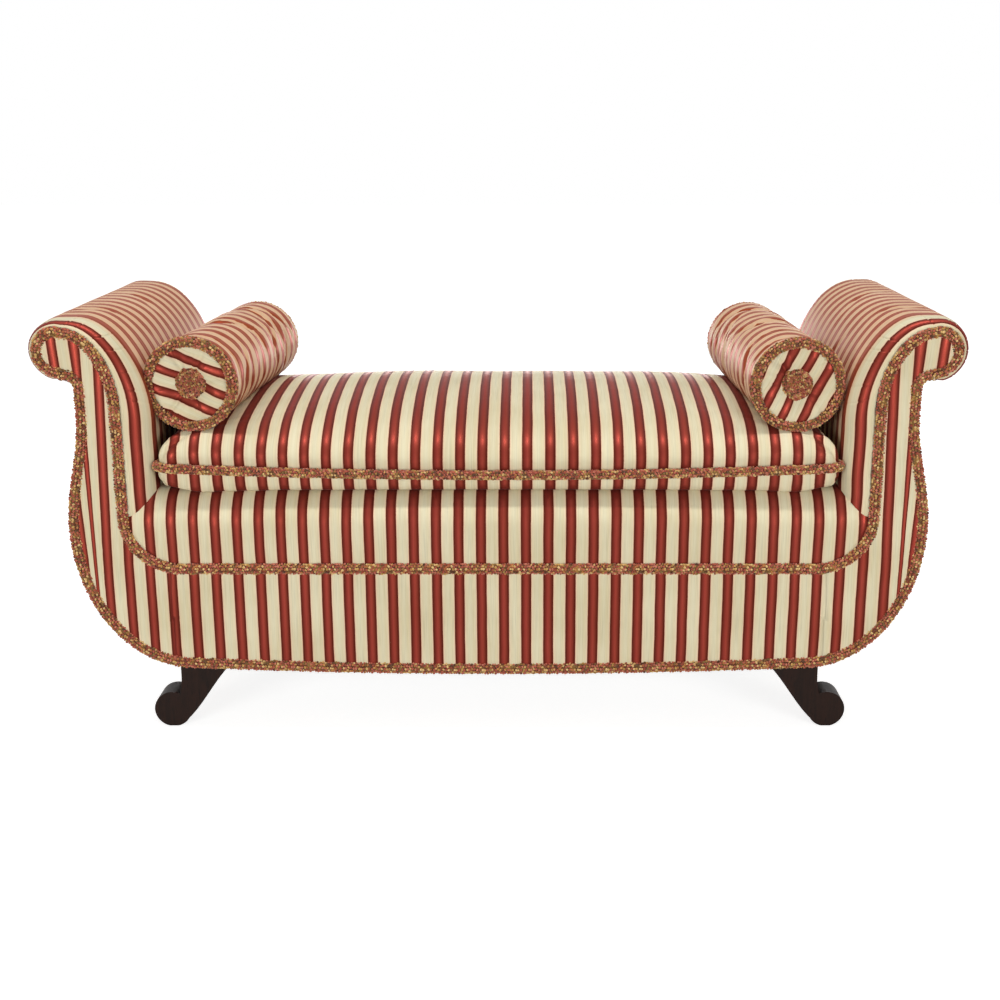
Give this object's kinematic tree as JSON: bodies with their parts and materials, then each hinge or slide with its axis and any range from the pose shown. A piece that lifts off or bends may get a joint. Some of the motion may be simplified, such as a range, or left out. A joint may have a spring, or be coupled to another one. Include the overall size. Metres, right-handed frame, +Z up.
{
  "type": "recamier bench",
  "caption": "Backless upholstered bench with scrolled arms, loose crowned seat cushion, two bolsters and short sabre legs with scroll toes.",
  "frame": {"origin": "on the floor under the middle of the bench", "axes": "+X to the right as seen from the front, +Y from the front to the back, +Z up"},
  "size_m": [1.5798, 0.616, 0.734],
  "materials": {
    "striped_satin": "satin stripe, cream and brick red",
    "looped_trim": "looped chenille, mottled red, gold and olive",
    "tufted_button": "chenille tuft",
    "polished_wood": "polished dark mahogany",
    "frame_wood": "sawn beech",
    "wadding": "cotton wadding",
    "burlap": "jute burlap and webbing",
    "dust_cloth": "black cambric",
    "steel": "spring wire and bolts"
  },
  "bodies": {
    "carcass": {"front_rail": "frame_wood", "back_rail": "frame_wood", "left_end_rail": "frame_wood", "right_end_rail": "frame_wood", "centre_brace": "frame_wood", "seat_cleats": "frame_wood", "left_front_arm_board": "frame_wood", "right_front_arm_board": "frame_wood", "left_back_arm_board": "frame_wood", "right_back_arm_board": "frame_wood", "left_scroll_rail": "frame_wood", "right_scroll_rail": "frame_wood", "left_neck_rail": "frame_wood", "right_neck_rail": "frame_wood", "left_tack_rail": "frame_wood", "right_tack_rail": "frame_wood", "left_arm_posts": "frame_wood", "right_arm_posts": "frame_wood", "corner_blocks": "frame_wood", "front_left_leg": "polished_wood", "front_right_leg": "polished_wood", "back_left_leg": "polished_wood", "back_right_leg": "polished_wood", "leg_bolts": "steel", "seat_webbing": "burlap", "seat_springs": "steel", "seat_burlap": "burlap", "deck_pad": "wadding", "deck_cover": "striped_satin", "left_arm_burlap": "burlap", "right_arm_burlap": "burlap", "left_arm_pad": "wadding", "right_arm_pad": "wadding", "left_inside_arm_cover": "striped_satin", "right_inside_arm_cover": "striped_satin", "left_outside_arm_cover": "striped_satin", "right_outside_arm_cover": "striped_satin", "left_front_facing": "striped_satin", "right_front_facing": "striped_satin", "left_back_facing": "striped_satin", "right_back_facing": "striped_satin", "front_panel": "striped_satin", "back_panel": "striped_satin", "front_trim": "looped_trim", "back_trim": "looped_trim", "dust_cover": "dust_cloth"},
    "cushion": {"cushion_top": "striped_satin", "cushion_bottom": "striped_satin", "cushion_insert": "wadding", "cushion_trim": "looped_trim"},
    "left_bolster": {"left_bolster_sleeve": "striped_satin", "left_bolster_ends": "striped_satin", "left_bolster_core": "wadding", "left_bolster_trims": "looped_trim", "left_bolster_buttons": "tufted_button"},
    "right_bolster": {"right_bolster_sleeve": "striped_satin", "right_bolster_ends": "striped_satin", "right_bolster_core": "wadding", "right_bolster_trims": "looped_trim", "right_bolster_buttons": "tufted_button"}
  },
  "joints": [
    {"name": "cushion_lift", "type": "slide", "parent": "carcass", "child": "cushion", "axis": [0, 0, 1], "range_m": [0, 0.35]},
    {"name": "left_bolster_lift", "type": "slide", "parent": "cushion", "child": "left_bolster", "axis": [0, 0, 1], "range_m": [0, 0.25]},
    {"name": "right_bolster_lift", "type": "slide", "parent": "cushion", "child": "right_bolster", "axis": [0, 0, 1], "range_m": [0, 0.25]}
  ]
}
